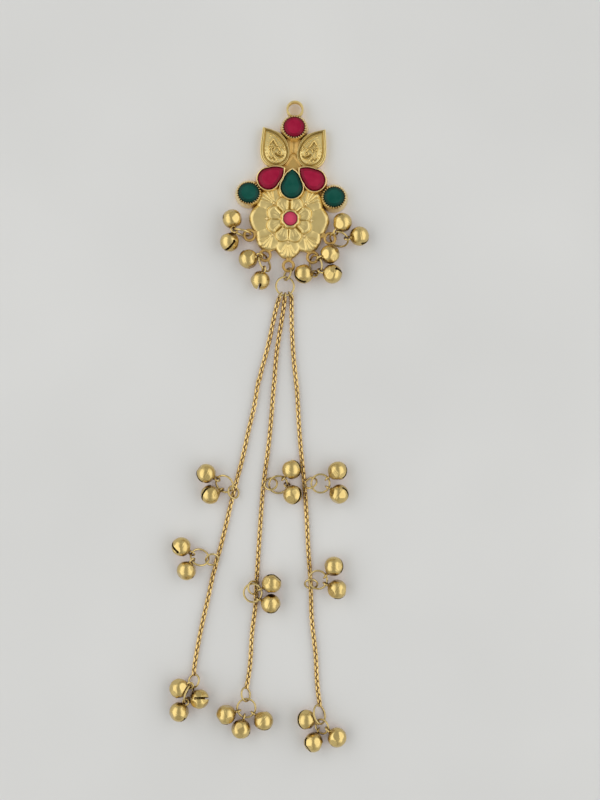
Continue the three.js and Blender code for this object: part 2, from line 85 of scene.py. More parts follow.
# how high the ribs beside each groove between two inner petals are, and how deep the groove is
RIBS = [  # from the bottom one anticlockwise
    {"rib": 0.5, "groove": 1.0},
    {"rib": 1.3, "groove": 0.3},
    {"rib": 0.3, "groove": 0.8},
    {"rib": 0.6, "groove": 0.7},
    {"rib": 1.3, "groove": 1.0},
    {"rib": 1.0, "groove": 0.5},
    {"rib": 0.3, "groove": 0.8},
    {"rib": 1.3, "groove": 0.3},
]
RIB_HEIGHT = 0.25
RIB_HALF = 0.28
RIB_ASIDE = 0.5
GROOVE_DEPTH = 0.05
GROOVE_HALF = 0.14
FLOWER_START = 1.5  # under the centre stone
FLOWER_TURNS = 656
FLOWER_ROWS = 104

# Bezels and stones
SEAT_Z = 1.85
STONE_R = 2.95
CENTRE_R = 1.95
# heights, and the table as a share of the stone's size
STONE = {"seat": SEAT_Z + 0.1, "girdle": 3.3, "top": 4.2, "table": 0.68}
CENTRE_STONE = {"seat": 3.15, "girdle": 4.0, "top": 4.6, "table": 0.6}
ROUND_CORNERS = 16
TEAR_CORNERS = 20
COLLAR_LOBE = 0.13
TEETH = 28
TOOTH_STEPS = 14  # points round one tooth
MOUTH_TALL = 0.955  # of a round bezel's mouth, as a share of its width
ROUND_BEZELS = [
    {"name": "top", "x": 0, "y": 25.6, "stone": "red"},
    {"name": "side_left", "x": -11.9, "y": 6.8, "stone": "green"},
    {"name": "side_right", "x": 11.9, "y": 6.6, "stone": "green"},
]
TEAR_BEZELS = [
    {"name": "drop_left", "x": -6.6, "y": 10.9, "point": 36, "radius": 2.9, "length": 5.1, "stone": "red"},
    {"name": "drop_right", "x": 6.3, "y": 11, "point": 144, "radius": 2.9, "length": 5.2, "stone": "red"},
    {"name": "drop_middle", "x": 0, "y": 8.8, "point": 90, "radius": 3, "length": 4.9, "stone": "green"},
]
# The flank of a leaf towards the neck is the fuller one, on +X of its own frame where side is 1.
LEAVES = [
    {"name": "leaf_left", "x": -5.3, "y": 18.5, "point": 116, "side": 1},
    {"name": "leaf_right", "x": 5.3, "y": 18.5, "point": 64, "side": -1},
]
LEAF_TIP = 7.9
LEAF_FIELD = 1.95  # height of the field inside the band, at its edge
LEAF_CROWN = 0.12
LEAF_LOW_CROWN = 0.36  # more, in the round half
ORNAMENT = 0.95  # of the heights that leaf_strokes gives
HANGER = {"outer": 2.4, "inner": 1.84, "y": 30.72, "low": 0.6, "high": 2.9}
EYELET = {"r": 1.45, "wire": 0.42, "z": 1.5, "stem": 2.6, "stem_half": 0.95, "taper": 0.3}
EYELETS = [(203, 12.25), (237, 12.25), (270, 12.9), (303, 12.25), (337, 12.25)]  # angle, reach

# Rings, bells and chains
WIRE_R = 0.28
RING_GAP = 0.09  # between the two ends of a jump ring's wire
CHAIN_Z = 0.66
CHAIN_EYE = {"r": 0.75, "wire": 0.22, "grip": 0.55}
CLEAR_SHARE = 0.78  # of the way up a chain, where no ring hides it
CLEAR_WIDTHS = (1.1, 1.5)  # a chain's section, where no ring hides it
CHAIN_NEAR = 0.95  # no point of a chain lies further sideways from its middle
CHAIN_HIGH = 1.45  # nor higher
CHAIN_RINGS_APART = 5
CHAIN_RING_FROM = 0.78  # points further than this from a chain's middle belong to its small rings
BELL_R = 2.7
BELL_SHELL = 0.22
LOOP_R = 0.85
LOOP_WIRE_R = 0.26
LOOP_REACH = 3.4
EYE_CLEAR = 0.15  # points further than this from the shell belong to the eye
MOUTH_BELOW = 1.2  # under a bell's centre
SLIT = 0.66
SLIT_DEPTH = 2.4
SLIT_HOLE_R = 0.45
PACKED_SLIT = 0.8
DENTS = 9
DENT_REACH = (0.885, 0.965)  # of the bell's radius, from its centre to a flat
DENT_CRISPNESS = 45  # per millimetre
LINK = {"length": 1.5, "width": 1.26, "band": 0.54, "thick": 0.27, "corner": 0.2, "pitch": 0.94}


# ---- Points, faces and pieces ----


def turned_outward(points, quads, caps):
    """The faces of a closed body, turned round if they would face inwards."""
    a, b, c, d = (points[quads[:, i]] for i in range(4))
    volume = np.sum(a * np.cross(b, c)) + np.sum(a * np.cross(c, d))
    for cap in caps:
        rest = points[cap[1:]]
        volume += np.sum(points[cap[0]] * np.cross(rest[:-1], rest[1:]))
    faces = quads.tolist() + caps
    return faces if volume > 0 else [face[::-1] for face in faces]


def loft(rings, looped=False):
    """Points and faces of a closed body made of rings of points, each joined to the next."""
    rings = np.asarray(rings, float)
    rows, cols = rings.shape[:2]
    index = np.arange(rows * cols).reshape(rows, cols)
    low = index if looped else index[:-1]
    high = np.roll(index, -1, axis=0) if looped else index[1:]
    quads = np.stack([low, np.roll(low, -1, axis=1), np.roll(high, -1, axis=1), high], axis=-1)
    caps = [] if looped else [index[0, ::-1].tolist(), index[-1].tolist()]
    points = rings.reshape(-1, 3)
    return points, turned_outward(points, quads.reshape(-1, 4), caps)


def at_height(flat, z):
    """Points of the plane at one height, or each at its own."""
    return np.column_stack([flat, np.full(len(flat), z)])


def around(radius, turn):
    """Points of the plane at these angles about 0, 0."""
    return np.column_stack([radius * np.cos(turn), radius * np.sin(turn)])


def full_turn(count):
    return np.linspace(0, 2 * math.pi, count, endpoint=False)


def lathe(profile, sides):
    """A turned body from (radius, height) pairs that run from its top down to its bottom."""
    turn = full_turn(sides)
    return loft([at_height(around(max(r, 1e-3), turn), z) for r, z in reversed(profile)])


def wire_ring(radius, wire, place, gap=0.0, major=72, minor=14):
    """A ring of wire about z; gap, in millimetres, is where its two ends don't quite meet."""
    opening = gap / radius
    turn = np.linspace(opening / 2, 2 * math.pi - opening / 2, major, endpoint=gap > 0)
    section = full_turn(minor)
    reach = radius + wire * np.cos(section)
    rise = wire * np.sin(section)
    rings = [np.column_stack([reach * math.cos(a), reach * math.sin(a), rise]) for a in turn]
    return moved(loft(rings, looped=gap == 0), place)


def merged(parts):
    """One list of points and faces from several."""
    points, faces, start = [], [], 0
    for some, cells in parts:
        points.append(some)
        faces += [[start + i for i in cell] for cell in cells]
        start += len(some)
    return np.vstack(points), faces


def moved(part, matrix):
    points, faces = part
    matrix = np.array(matrix, float)
    return points @ matrix[:3, :3].T + matrix[:3, 3], faces


def added(name, data):
    """A new object of the scene."""
    made = bpy.data.objects.new(name, data)
    bpy.context.scene.collection.objects.link(made)
    return made


def mesh_object(name, points, faces):
    mesh = bpy.data.meshes.new(name)
    mesh.from_pydata(points.tolist(), [], faces)
    mesh.update()
    return added(name, mesh)


def piece(name, part, look, stands_for=(), sharp=38):
    """A mesh object of the earring, from points in millimetres in the row frame."""
    points, faces = part
    made = mesh_object(name, points * MM, faces)
    made.data.materials.append(look)
    made.data.shade_smooth()
    made.data.set_sharp_from_angle(angle=math.radians(sharp))
    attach(made, BODY)
    if stands_for:
        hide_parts(*stands_for)
    return made


def smooth(low, high, value):
    """0 below low, 1 above high, and a smooth rise between."""
    t = np.clip((value - low) / (high - low), 0, 1)
    return t * t * (3 - 2 * t)


def hump(away, half):
    """1 where away is 0, and a smooth fall on both sides."""
    return np.exp(-((away / half) ** 2))


def averaged(values, reach):
    """Each value averaged with its neighbours, reach of them on each side."""
    count = 2 * reach + 1
    return np.convolve(np.pad(values, reach, mode="edge"), np.ones(count) / count, mode="valid")


def unit(vector):
    return vector / np.linalg.norm(vector)


def way_along(points):
    """How far along a line of points each of them is."""
    return np.concatenate([[0], np.cumsum(np.linalg.norm(np.diff(points, axis=0), axis=1))])


def at_way(points, run, way):
    """The point that lies this far along a line of points."""
    return np.column_stack([np.interp(way, run, column) for column in points.T])


def basis(x, y, z, origin):
    matrix = np.eye(4)
    matrix[:3, :4] = np.column_stack([x, y, z, origin])
    return matrix


def facing(normal, origin):
    """A frame at origin whose z axis is normal."""
    guess = np.array([1.0, 0, 0]) if abs(normal[0]) < 0.8 else np.array([0, 1.0, 0])
    x = unit(guess - guess @ normal * normal)
    return basis(x, np.cross(normal, x), normal, origin)


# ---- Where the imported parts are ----


def mesh_points(mesh):
    flat = np.empty(3 * len(mesh.vertices))
    mesh.vertices.foreach_get("co", flat)
    return flat.reshape(-1, 3)


def node_points(node):
    """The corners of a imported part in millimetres, each once."""
    return np.unique(np.round(mesh_points(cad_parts[node].data) / MM, 4), axis=0)


def middle(node):
    low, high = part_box(node)
    return np.array((low + high) / 2) / MM


def plate_frame():
    centre, top = middle("stone_centre"), middle("stone_top")
    up = unit(np.array([*(top - centre)[:2], 0]))
    return basis([up[1], -up[0], 0], up, [0, 0, 1], [centre[0], centre[1], 0])


PLATE = plate_frame()


def placed(x, y, point=90):
    """In the plate's plane, a thing drawn about 0, 0 with its point along +Y."""
    turn = Matrix.Rotation(math.radians(point - 90), 4, "Z")
    return PLATE @ np.array(Matrix.Translation((x, y, 0)) @ turn)


def fitted_circle(points):
    """Centre, normal and radius of the circle that points lie about, also where they are only an arc."""
    centre = points.mean(axis=0)
    u, v, normal = np.linalg.svd(points - centre)[2]
    x, y = (points - centre) @ u, (points - centre) @ v
    columns = np.column_stack([2 * x, 2 * y, np.ones(len(x))])
    a, b, c = np.linalg.lstsq(columns, x * x + y * y, rcond=None)[0]
    normal = normal if normal[2] >= 0 else -normal
    return centre + a * u + b * v, normal, math.sqrt(c + a * a + b * b)


def fitted_bell(node):
    """A bell's frame (centre, way to its eye as z, way its slit runs as x), its eye's normal and centre."""
    points = node_points(node)
    centre = points.mean(axis=0)
    for tolerance in (1.0, 1.0, 0.5, 0.5, 0.2, 0.1, 0.05, 0.02):
        away = np.linalg.norm(points - centre, axis=1)
        shell = points[np.abs(away - BELL_R) < tolerance]
        columns = np.column_stack([2 * shell, np.ones(len(shell))])
        centre = np.linalg.lstsq(columns, (shell**2).sum(axis=1), rcond=None)[0][:3]
    away = np.linalg.norm(points - centre, axis=1)
    eye = points[away > BELL_R + EYE_CLEAR]
    axis = unit(eye.mean(axis=0) - centre)
    eye_centre = centre + LOOP_REACH * axis
    normal = np.linalg.svd(eye - eye.mean(axis=0))[2][2]
    normal = unit(normal - normal @ axis * axis)
    second = np.cross(axis, normal)
    mouth = points[(points - centre) @ axis < -MOUTH_BELOW] - centre
    best = max(range(180), key=lambda a: slit_votes(mouth, normal, second, a))
    angle = math.radians(best)
    run = math.cos(angle) * normal + math.sin(angle) * second
    return basis(run, np.cross(axis, run), axis, centre), normal, eye_centre


def slit_votes(mouth, first, second, angle):
    """How many points lie on the slit's two walls if the slit runs at this angle."""
    turn = math.radians(angle)
    across = mouth @ (math.cos(turn) * second - math.sin(turn) * first)
    return int((np.abs(np.abs(across) - PACKED_SLIT / 2) < 0.01).sum())


def section_middle(ends, level, guess):
    """Middle of a chain's section at a level of y, near guess; None where a ring hides it."""
    first, second = ends
    side = (first[:, 1] - level) * (second[:, 1] - level) < 0
    a, b = first[side], second[side]
    share = ((level - a[:, 1]) / (b[:, 1] - a[:, 1]))[:, None]
    cut = a + share * (b - a)
    near = cut[np.abs(cut[:, 0] - guess[0]) < CHAIN_NEAR]
    near = near[near[:, 2] < CHAIN_HIGH]
    narrow, wide = CLEAR_WIDTHS
    if len(near) < 6 or not narrow <= np.ptp(near[:, 0]) <= wide:
        return None
    return np.array([(near[:, 0].min() + near[:, 0].max()) / 2, level])


def chain_course(node):
    """The middle of a chain from its top down, at steps of 1 mm in y, and the corners of its faces."""
    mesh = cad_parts[node].data
    points = mesh_points(mesh) / MM
    edges = np.empty(2 * len(mesh.edges), int)
    mesh.edges.foreach_get("vertices", edges)
    ends = points[edges.reshape(-1, 2)].transpose(1, 0, 2)
    low, high = points[:, 1].min(), points[:, 1].max()
    start = low + CLEAR_SHARE * (high - low)
    column = points[np.abs(points[:, 1] - start) < 4]
    found = []
    for step in (1.0, -1.0):
        guess, drift, level = column.mean(axis=0)[:2], 0.0, start
        while low < level < high:
            hit = section_middle(ends, level, guess)
            if hit is not None:
                if found and abs(found[-1][1] - level) < 1.5:
                    drift = 0.7 * drift + 0.3 * (hit[0] - found[-1][0])
                guess = hit
                found.append(hit)
            guess = guess + np.array([drift, 0])
            level += step
    found = np.array(sorted(found, key=lambda p: -p[1]))
    return found, points


# ---- Materials ----


def material(name):
    made = bpy.data.materials.new(name)
    made.use_nodes = True
    nodes, links = made.node_tree.nodes, made.node_tree.links
    return made, nodes, links, nodes["Principled BSDF"]


def put(node, values):
    """Sets inputs of a node that nothing is linked to."""
    for name, value in values.items():
        node.inputs[name].default_value = value


def noise(nodes, links, scale, detail=3.0):
    place = nodes.new("ShaderNodeTexCoord")
    texture = nodes.new("ShaderNodeTexNoise")
    put(texture, {"Scale": scale, "Detail": detail})
    links.new(place.outputs["Object"], texture.inputs["Vector"])
    return texture.outputs["Fac"]


def mapped(nodes, links, value, low, high):
    """value, from 0.3 to 0.7, spread from low to high."""
    spread = nodes.new("ShaderNodeMapRange")
    put(spread, {"From Min": 0.3, "From Max": 0.7, "To Min": low, "To Max": high})
    links.new(value, spread.inputs["Value"])
    return spread.outputs["Result"]


def mixed(nodes, links, share, first, second):
    """A colour between two, by share; each is a colour or a socket."""
    mix = nodes.new("ShaderNodeMix")
    mix.data_type = "RGBA"
    links.new(share, mix.inputs["Factor"])
    for socket, colour in ((mix.inputs[6], first), (mix.inputs[7], second)):
        if isinstance(colour, tuple):
            socket.default_value = (*colour, 1)
        else:
            links.new(colour, socket)
    return mix.outputs[2]


LACQUER = 0.4  # weight of the clear coat on the gilding


def gold(name, colour, worn, painted_shade, rough, grain, reach, open_from=0.85):
    """Gilt brass: colour in the open, worn in patches, and a darker colour painted in as shade where other
    surfaces, the table too, lie within reach.

    rough and grain are the roughness and the strength of its fine bumps, and from open_from of free sky
    a place counts as open.
    """
    made, nodes, links, shader = material(name)
    put(shader, {"Metallic": 1, "Coat Weight": LACQUER, "Coat Roughness": 0.22})
    patches = mapped(nodes, links, noise(nodes, links, 260), 0, 1)
    face = mixed(nodes, links, patches, colour, worn)
    # Painted shade: the less open sky the AO node finds within reach, the table counting too, the closer
    # the colour comes to the darker shade colour.
    shut = nodes.new("ShaderNodeAmbientOcclusion")
    shut.samples = 6
    put(shut, {"Distance": reach * MM})
    depth = nodes.new("ShaderNodeMapRange")
    put(depth, {"From Min": 0.35, "From Max": open_from})
    links.new(shut.outputs["AO"], depth.inputs["Value"])
    links.new(mixed(nodes, links, depth.outputs["Result"], painted_shade, face), shader.inputs["Base Color"])
    uneven = mapped(nodes, links, noise(nodes, links, 900), rough - 0.05, rough + 0.07)
    links.new(uneven, shader.inputs["Roughness"])
    bump = nodes.new("ShaderNodeBump")
    put(bump, {"Strength": grain, "Distance": 0.05 * MM})
    links.new(noise(nodes, links, 3500, 4), bump.inputs["Height"])
    links.new(bump.outputs["Normal"], shader.inputs["Normal"])
    return made


def paste(name, colour, girdle_shade):
    """A foiled glass stone: its colour on the table, and a darker colour painted on the facets that tilt
    towards the girdle, standing in for the bezel's shadow and the dark reflections in the crown.
    """
    made, nodes, links, shader = material(name)
    geometry = nodes.new("ShaderNodeNewGeometry")
    parts = nodes.new("ShaderNodeSeparateXYZ")
    links.new(geometry.outputs["True Normal"], parts.inputs["Vector"])
    table = nodes.new("ShaderNodeMapRange")
    put(table, {"From Min": 0.55, "From Max": 0.97})
    links.new(parts.outputs["Z"], table.inputs["Value"])
    cloud = mapped(nodes, links, noise(nodes, links, 420), 0, 1)
    lighter = tuple(min(1, 1.25 * c + 0.01) for c in colour)
    face = mixed(nodes, links, cloud, colour, lighter)
    links.new(mixed(nodes, links, table.outputs["Result"], girdle_shade, face), shader.inputs["Base Color"])
    put(shader, {"Roughness": 0.22, "IOR": 1.5, "Specular IOR Level": 0.1})
    return made


GOLD_LOOKS = {  # colour, worn, painted shade in hollows; rough, grain, reach in mm, open_from
    "plate": ((0.78, 0.61, 0.25), (0.72, 0.55, 0.215), (0.44, 0.31, 0.08), 0.34, 0.1, 0.6, 0.9),
    # leaf: a lighter copy of the plate's gilding, a painted highlight on the leaves and the hanging ring,
    # with a darker painted shade in its hollows
    "leaf": ((0.9, 0.715, 0.3), (0.84, 0.65, 0.26), (0.34, 0.23, 0.05), 0.36, 0.1, 0.8, 0.97),
    # wall: a lighter, warmer copy of the plate's gilding, a painted highlight on the teardrop bezels' walls
    "wall": ((0.96, 0.75, 0.36), (0.9, 0.67, 0.29), (0.62, 0.38, 0.12), 0.36, 0.15, 0.7),
    # neck: a darker copy of the plate's gilding, a painted shade on the neck web and the eyelets
    "neck": ((0.62, 0.415, 0.13), (0.58, 0.37, 0.11), (0.36, 0.2, 0.045), 0.48, 0.2, 1.2),
    # rim: a lighter copy of the plate's gilding, a painted highlight on the round bezels' rims and the buds
    "rim": ((1.0, 0.86, 0.5), (0.95, 0.78, 0.4), (0.5, 0.3, 0.075), 0.3, 0.12, 0.9),
    "wire": ((0.64, 0.5, 0.22), (0.58, 0.44, 0.17), (0.26, 0.16, 0.03), 0.22, 0.1, 1.2),
    "bell": ((0.7, 0.53, 0.2), (0.65, 0.48, 0.175), (0.2, 0.105, 0.018), 0.25, 0.05, 3.2),
    "chain": ((0.82, 0.6, 0.24), (0.76, 0.53, 0.19), (0.26, 0.13, 0.015), 0.28, 0.08, 0.5),
}
GOLD = {name: gold(name + "_gold", *look) for name, look in GOLD_LOOKS.items()}
# Each stone's second colour is a painted shade and painted reflection, laid on its facets that tilt towards
# the girdle.
STONES = {
    "red": (paste("red_paste", (0.29, 0.005, 0.034), (0.12, 0.001, 0.01)), "red_stone"),
    "green": (paste("green_paste", (0.002, 0.064, 0.046), (0.001, 0.02, 0.015)), "green_stone"),
    "pink": (paste("pink_paste", (0.47, 0.045, 0.095), (0.2, 0.006, 0.02)), "pink_stone"),
}


# ---- Flower ----


def petal_swell(turn, half=False):
    """1 in a petal's middle, 0 in the groove beside it; half gives the row between the petals."""
    return np.abs(np.cos(PETALS * turn / 2 + (math.pi / 2 if half else 0)))


def pleats(radius, turn):
    """The fans of fine ridges on the outer petals, from 0 to 1 on a ridge."""
    step = 2 * math.pi / PETALS
    petal = np.round(turn / step)
    off = turn - petal * step
    along = radius * np.cos(off) - FAN_START
    across = radius * np.sin(off)
    reach = np.hypot(along, across)
    spread = np.degrees(np.arctan2(across, np.maximum(along, 1e-6)))
    nearest = np.clip(np.round(spread / FAN_PITCH), -2, 2)
    beside = reach * np.sin(np.radians(spread - nearest * FAN_PITCH))
    shown = smooth(0.5, 1.1, reach) * (1 - smooth(3.9, 4.9, reach + 0.3 * np.abs(nearest)))
    share = np.array(FAN_SHARES)[petal.astype(int) % PETALS]
    return hump(beside, FAN_HALF) * shown * share * (along > 0)


def flutes(radius, turn):
    """Two fine ridges that run out along each inner petal, from 0 to 1 on a ridge."""
    step = 2 * math.pi / PETALS
    off = (turn % step) - step / 2
    beside = radius * np.sin(np.abs(off) - math.radians(5))
    return hump(beside, FLUTE_HALF) * smooth(3.2, 3.8, radius) * (1 - smooth(4.6, 5.6, radius))


def ribs(radius, turn):
    """The ribs that flank the grooves between inner petals, less the grooves; in millimetres."""
    step = 2 * math.pi / PETALS
    number = np.round(turn / step)
    aside = radius * np.sin(turn - number * step)
    shares = np.array([[row["rib"], row["groove"]] for row in RIBS])[number.astype(int) % PETALS]
    pair = hump(np.abs(aside) - RIB_ASIDE, RIB_HALF) * shares[..., 0]
    split = hump(aside, GROOVE_HALF) * shares[..., 1]
    along = smooth(2.5, 3.0, radius) * (1 - smooth(4.7, 5.7, radius))
    return (RIB_HEIGHT * pair - GROOVE_DEPTH * split) * along


def flower_edge(turn):
    """How far out the flower's edge is."""
    from_bottom = np.abs(np.degrees((turn + math.pi) % (2 * math.pi) - math.pi))
    depth = NOTCH_DEPTH + LOW_NOTCH_DEPTH * (1 - smooth(26, 38, from_bottom))
    edge = FLOWER_R - depth * (1 - petal_swell(turn)) ** 0.8
    straight = LOW_TIP / np.cos(np.radians(np.minimum(from_bottom, 60)))
    return np.minimum(edge, straight)


def flower_height(radius, turn, edge):
    """Height of the flower's face."""
    outer = petal_swell(turn) ** 0.75
    inner = petal_swell(turn, True)
    roll = np.clip(1 - (edge - radius) / ROLL_WIDTH, 0, 1)
    fall = (SHOULDER_Z - RIM_Z) * (1 - np.sqrt(1 - np.minimum(roll, 0.999) ** 2))
    low = SHOULDER_Z - OUTER_CROWN * (1 - outer) * smooth(5.4, 8, radius) - fall
    low = low + FAN_HEIGHT * pleats(radius, turn)
    tip = INNER_R - INNER_NOTCH * (1 - inner) ** 0.9
    low = low - TIP_GROOVE * hump(radius - tip - 0.1, 0.2)
    share = (radius - CENTRE_R) / (tip - CENTRE_R)
    crown = INNER_CROWN * (1 - inner**0.6) * smooth(1.9, 3.4, radius)
    dish = DISH_DEPTH * hump(share - 0.6, 0.25) * inner
    lip = LIP_HEIGHT * hump(radius - tip + 0.62, 0.26)
    high = TOP_Z - INNER_SLOPE * share**2 - crown - dish + lip + FLUTE_HEIGHT * flutes(radius, turn) * inner
    high = high + ribs(radius, turn)
    return low + (high - low) * (1 - smooth(tip - TIP_FALL, tip, radius))


def flower():
    """The pressed flower, from under the centre stone out to its rolled edge and back underneath."""
    turn = full_turn(FLOWER_TURNS)
    edge = flower_edge(turn)
    share = np.linspace(0, 1, FLOWER_ROWS)[:, None]
    radius = FLOWER_START + share * (edge - FLOWER_START)
    height = flower_height(radius, turn[None, :], edge[None, :])
    for inward, z in ((0.12, 0.75), (0.3, 0.25), (0.5, 0.0)):  # the edge's underside, down to the back
        radius = np.vstack([radius, edge - inward])
        height = np.vstack([height, np.full(FLOWER_TURNS, z)])
    angle = turn - math.pi / 2
    rings = np.stack([radius * np.cos(angle), radius * np.sin(angle), height], axis=-1)
    return loft(rings[::-1])


def buds():
    """The small raised stars where two inner petals and an outer one meet."""
    profile = [(0.0, 0.36), (0.14, 0.33), (0.3, 0.2), (0.52, 0.0), (0.56, -0.2), (0.0, -0.2)]
    points, faces = lathe(profile, 32)
    star = 0.85 + 0.3 * np.cos(4 * np.arctan2(points[:, 1], points[:, 0]))
    bud = (points * np.column_stack([star, star, np.ones(len(points))]), faces)
    parts = []
    for petal in range(PETALS):
        angle = 2 * math.pi * petal / PETALS - math.pi / 2
        spot = (BUD_REACH * math.cos(angle), BUD_REACH * math.sin(angle), SHOULDER_Z - 0.03)
        parts.append(moved(bud, np.array(Matrix.Translation(spot) @ Matrix.Rotation(angle, 4, "Z"))))
    return merged(parts)


# ---- Leaves ----


def tear_outline(radius, length, arc, flank):
    """A teardrop's outline: round end at 0, 0, point along +Y, anticlockwise from the right flank."""
    side = math.asin(radius / length)
    bulge = 0.28 * radius
    start = np.array([math.cos(side), math.sin(side)]) * radius
    tip = np.array([0.0, length])
    control = (start + tip) / 2 + bulge * np.array([math.cos(side), math.sin(side)])
    t = np.linspace(0, 1, flank, endpoint=False)[:, None]
    right = (1 - t) ** 2 * start + 2 * t * (1 - t) * control + t**2 * tip
    left = (right * [-1, 1])[::-1][:-1]
    angles = np.linspace(math.pi - side, 2 * math.pi + side, arc, endpoint=False)
    return np.vstack([right, tip[None, :], left, around(radius, angles)])


def distance_to(points, line):
    """Distance from each point to a polyline, in the plane."""
    best = np.full(len(points), 1e9)
    for a, b in zip(line[:-1], line[1:]):
        run = b - a
        t = np.clip(((points - a) @ run) / max(run @ run, 1e-12), 0, 1)
        best = np.minimum(best, np.linalg.norm(points - a - t[:, None] * run, axis=1))
    return best


def bezier(start, first, second, end, count):
    """Points along a cubic curve, without its end."""
    t = np.linspace(0, 1, count, endpoint=False)[:, None]
    corners = [np.array(p, float) for p in (start, first, second, end)]
    weights = [(1 - t) ** 3, 3 * t * (1 - t) ** 2, 3 * t * t * (1 - t), t**3]
    return sum(w * p for w, p in zip(weights, corners))


def leaf_outline(right, left, tip, inner_pull, outer_pull, low):
    """A leaf's outline, anticlockwise: the fuller flank, the point, the other flank, the round end."""
    fuller = bezier((right, 0), *inner_pull, tip, 70)
    other = bezier(tip, *outer_pull, (left, 0), 70)
    angles = np.linspace(math.pi, 2 * math.pi, 110, endpoint=False)
    centre, half = (right + left) / 2, (right - left) / 2
    end = np.column_stack([centre + half * np.cos(angles), low * np.sin(angles)])
    return np.vstack([fuller, other, end])


LEAF_PULLS = ((5.4, 3.9), (2.6, 5.7)), ((-2.2, 4.4), (-3.9, 1.8))
LEAF_INNER_PULLS = ((3.9, 2.3), (2.95, 4.9)), ((-1.2, 3.8), (-2.7, 1.8))
LEAF_EDGE = leaf_outline(4.3, -3.95, (0, LEAF_TIP), *LEAF_PULLS, 4.25)
LEAF_INNER = leaf_outline(3.6, -2.7, (0.45, 6.7), *LEAF_INNER_PULLS, 3.3)
# the raised band between them: share of the way in, height
LEAF_BAND = [
    (0.0, 1.5), (0.03, 1.9), (0.07, 2.08), (0.13, 2.16), (0.2, 2.18), (0.32, 2.16),
    (0.37, 2.06), (0.42, 2.06), (0.47, 2.15), (0.54, 2.2), (0.64, 2.2), (0.7, 2.12),
    (0.74, 2.12), (0.79, 2.24), (0.86, 2.34), (0.92, 2.26), (0.97, 1.98), (1.0, 1.92),
]


def dot(x, y, half, height):
    return [(x, y), (x + 0.01, y)], half, height


def leaf_strokes():
    """The leaf's ornament as (line, half width, height), drawn for the left leaf."""
    bud_hook = [(0.1, 0.55), (0.3, 0.86), (0.75, 1.02), (1.25, 0.95), (1.6, 0.7), (1.72, 0.3), (1.6, -0.05)]
    strokes = [
        ([(0.15, 2.85), (1.25, 3.5), (1.55, 1.25)], 0.24, 0.5),
        ([(0.78, 2.55), (0.98, 2.7), (1.02, 1.5)], 0.17, -0.2),
        (bud_hook, 0.2, 0.45),
        ([(1.95, 0.5), (2.4, 0.62), (2.82, 0.35), (3.0, -0.15), (2.95, -0.6)], 0.18, 0.36),
        (np.array([1.35, -0.72]) + around(0.5, np.radians(np.linspace(0, 360, 14))), 0.18, 0.4),
        ([(1.3, -0.72), (1.4, -0.72)], 0.3, 0.3),
        ([(0.22, -0.45), (0.35, -1.1), (0.8, -1.62), (1.35, -1.88), (1.95, -1.8)], 0.27, -0.42),
        ([(0.7, 5.9), (1.7, 4.8), (2.6, 3.3), (3.05, 1.7), (3.15, 0.7)], 0.15, 0.3),
        ([(-0.1, -0.85), (0.25, -1.65), (0.85, -2.2), (1.6, -2.4)], 0.15, 0.2),
        ([(-0.4, 0.95), (-0.65, 0.3), (-0.6, -0.5)], 0.14, 0.24),
        ([(-0.95, 0.95), (-1.5, 0.45), (-1.6, -0.3)], 0.17, 0.24),
        ([(-1.7, -0.75), (-1.5, -1.3)], 0.22, -0.28),
        ([(-0.88, -1.15), (-0.68, -1.85)], 0.22, -0.3),
        ([(-1.25, -0.85), (-1.4, -1.9)], 0.15, 0.24),
        ([(-0.35, -0.95), (-0.12, -2.3)], 0.15, 0.24),
    ]
    rosette = np.array([-0.3, 1.68])
    for i in range(6):
        angle = math.radians(60 * i + 30)
        spot = rosette + 0.5 * np.array([math.cos(angle), math.sin(angle)])
        strokes.append(dot(*spot, 0.28, 0.42))
    strokes.append(dot(*rosette, 0.3, 0.16))
    beads = [(-0.62, 3.35), (-1.9, 1.6), (-1.35, 2.5), (0.55, 4.3), (1.1, 4.7), (2.2, 2.5)]
    beads += [(2.35, 1.6), (-2.05, 0.6), (-2.05, -0.3), (0.0, -2.75), (-0.9, -2.4), (2.5, -1.4)]
    return strokes + [dot(x, y, 0.2, 0.22) for x, y in beads]


def with_strokes(points, strokes):
    """Height that raised and sunk strokes add at each point."""
    raised, sunk = np.zeros(len(points)), np.zeros(len(points))
    for line, half, rise in strokes:
        shape = np.clip(1 - (distance_to(points, np.array(line, float)) / (1.15 * half)) ** 2, 0, 1)
        if rise > 0:
            raised = np.maximum(raised, rise * shape)
        else:
            sunk = np.minimum(sunk, rise * shape)
    return raised + sunk


def leaf(place, side):
    """A leaf: its band from the edge inwards, then the domed field with its ornament."""
    rings = [at_height(0.97 * LEAF_EDGE, 0.0), at_height(LEAF_EDGE, 0.25)]
    for share, z in LEAF_BAND:
        rings.append(at_height(LEAF_EDGE + share * (LEAF_INNER - LEAF_EDGE), z))
    heart = np.array([0.4, 0.4])
    strokes = leaf_strokes()
    for share in np.linspace(0.985, 0.004, 64):
        flat = heart + share * (LEAF_INNER - heart)
        crown = LEAF_CROWN + LEAF_LOW_CROWN * smooth(3.8, -0.5, flat[:, 1])
        dome = LEAF_FIELD + crown * (1 - share**3)
        relief = ORNAMENT * with_strokes(flat, strokes) * smooth(1, 0.93, share)
        rings.append(at_height(flat, dome + relief))
    points, faces = loft(rings)
    if side < 0:
        points = points * [-1, 1, 1]
        faces = [cell[::-1] for cell in faces]
    return moved((points, faces), place)


# ---- Neck, bezels, hanging ring and eyelets ----


